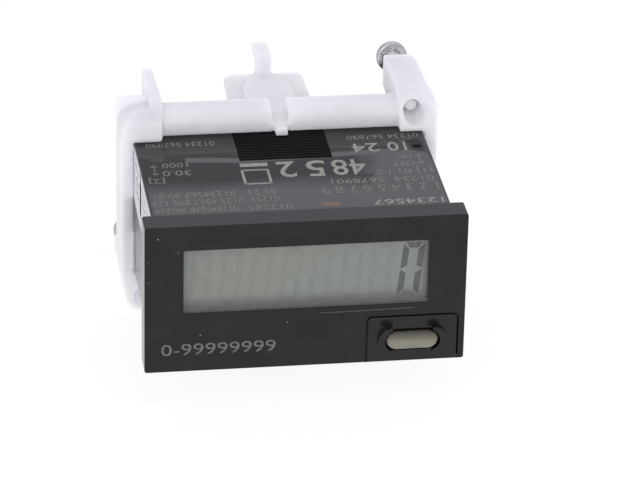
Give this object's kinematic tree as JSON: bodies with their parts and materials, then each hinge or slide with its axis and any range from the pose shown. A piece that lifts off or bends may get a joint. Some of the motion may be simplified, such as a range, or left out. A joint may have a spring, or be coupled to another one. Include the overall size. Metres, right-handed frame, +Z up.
{
  "type": "electronic counter",
  "caption": "Flush panel-mount electronic counter: small black case with a wide liquid-crystal window, a guarded reset key, rear screw terminals and a white clamp bracket.",
  "frame": {"origin": "middle of the panel cut-out, on the panel's front surface, which the rear of the bezel rests on", "axes": "+X to the right as the display is read, +Y back through the panel to the terminals, +Z up"},
  "size_m": [0.0492, 0.0571, 0.0346],
  "materials": {
    "black_case": "satin black moulding with a fine grain",
    "black_cover": "satin black moulding",
    "clear_lens": "clear gloss acrylic",
    "lcd_glass": "grey-green display behind glass",
    "reflector": "satin film",
    "white_plastic": "off-white moulding",
    "contact_rubber": "matt silicone",
    "green_board": "solder-masked board",
    "black_part": "black epoxy and plastic",
    "bright_can": "bright nickelled can",
    "capacitor_sleeve": "dark blue sleeve",
    "spring_metal": "nickelled spring strip",
    "black_key_panel": "satin black moulding",
    "grey_key": "warm grey satin moulding",
    "terminal_metal": "nickelled steel",
    "white_nylon": "cool white translucent nylon with a satin sheen",
    "clamp_metal": "bright zinc with a pale yellow passivation",
    "label_film": "white polyester label"
  },
  "bodies": {
    "counter": {"case_shell": "black_case", "rear_cover": "black_cover", "display_lens": "clear_lens", "lcd_panel": "lcd_glass", "lcd_reflector": "reflector", "lcd_holder": "white_plastic", "contact_strip_upper": "contact_rubber", "contact_strip_lower": "contact_rubber", "display_board": "green_board", "main_board": "green_board", "board_link": "black_part", "controller_chip": "black_part", "clock_crystal": "bright_can", "storage_capacitor": "capacitor_sleeve", "input_isolator": "white_plastic", "chip_resistors": "black_part", "battery_cell": "bright_can", "battery_tab_lower": "spring_metal", "battery_tab_upper": "spring_metal", "key_panel": "black_key_panel", "key_dome": "contact_rubber", "switch_body_left": "black_part", "switch_body_right": "black_part", "terminal_plate_1": "terminal_metal", "terminal_plate_2": "terminal_metal", "terminal_plate_3": "terminal_metal", "terminal_plate_4": "terminal_metal", "side_label": "label_film"},
    "bracket": {"mounting_bracket": "white_nylon"},
    "upper_clamp_screw": {"clamp_screw_upper": "clamp_metal"},
    "lower_clamp_screw": {"clamp_screw_lower": "clamp_metal"},
    "key": {"reset_key": "grey_key"},
    "left_knob": {"switch_knob_left": "white_plastic"},
    "right_knob": {"switch_knob_right": "white_plastic"},
    "screw_1": {"terminal_screw_1": "terminal_metal", "terminal_washer_1": "terminal_metal"},
    "screw_2": {"terminal_screw_2": "terminal_metal", "terminal_washer_2": "terminal_metal"},
    "screw_3": {"terminal_screw_3": "terminal_metal", "terminal_washer_3": "terminal_metal"},
    "screw_4": {"terminal_screw_4": "terminal_metal", "terminal_washer_4": "terminal_metal"}
  },
  "joints": [
    {"name": "bracket_slide", "type": "slide", "parent": "counter", "child": "bracket", "axis": [0, 1, 0], "range_m": [-0.025, 0.015]},
    {"name": "upper_clamp_screw_slide", "type": "slide", "parent": "bracket", "child": "upper_clamp_screw", "axis": [0, -1, 0], "range_m": [0, 0.005]},
    {"name": "lower_clamp_screw_slide", "type": "slide", "parent": "bracket", "child": "lower_clamp_screw", "axis": [0, -1, 0], "range_m": [0, 0.005]},
    {"name": "reset_key_push", "type": "slide", "parent": "counter", "child": "key", "axis": [0, 1, 0], "range_m": [0, 0.0007], "stiffness_N_per_m": 1500},
    {"name": "left_knob_slide", "type": "slide", "parent": "counter", "child": "left_knob", "axis": [0, 0, 1], "range_m": [0, 0.0026]},
    {"name": "right_knob_slide", "type": "slide", "parent": "counter", "child": "right_knob", "axis": [0, 0, 1], "range_m": [0, 0.0026]},
    {"name": "terminal_screw_1_slide", "type": "slide", "parent": "counter", "child": "screw_1", "axis": [0, 1, 0], "range_m": [0, 0.002]},
    {"name": "terminal_screw_2_slide", "type": "slide", "parent": "counter", "child": "screw_2", "axis": [0, 1, 0], "range_m": [0, 0.002]},
    {"name": "terminal_screw_3_slide", "type": "slide", "parent": "counter", "child": "screw_3", "axis": [0, 1, 0], "range_m": [0, 0.002]},
    {"name": "terminal_screw_4_slide", "type": "slide", "parent": "counter", "child": "screw_4", "axis": [0, 1, 0], "range_m": [0, 0.002]}
  ]
}
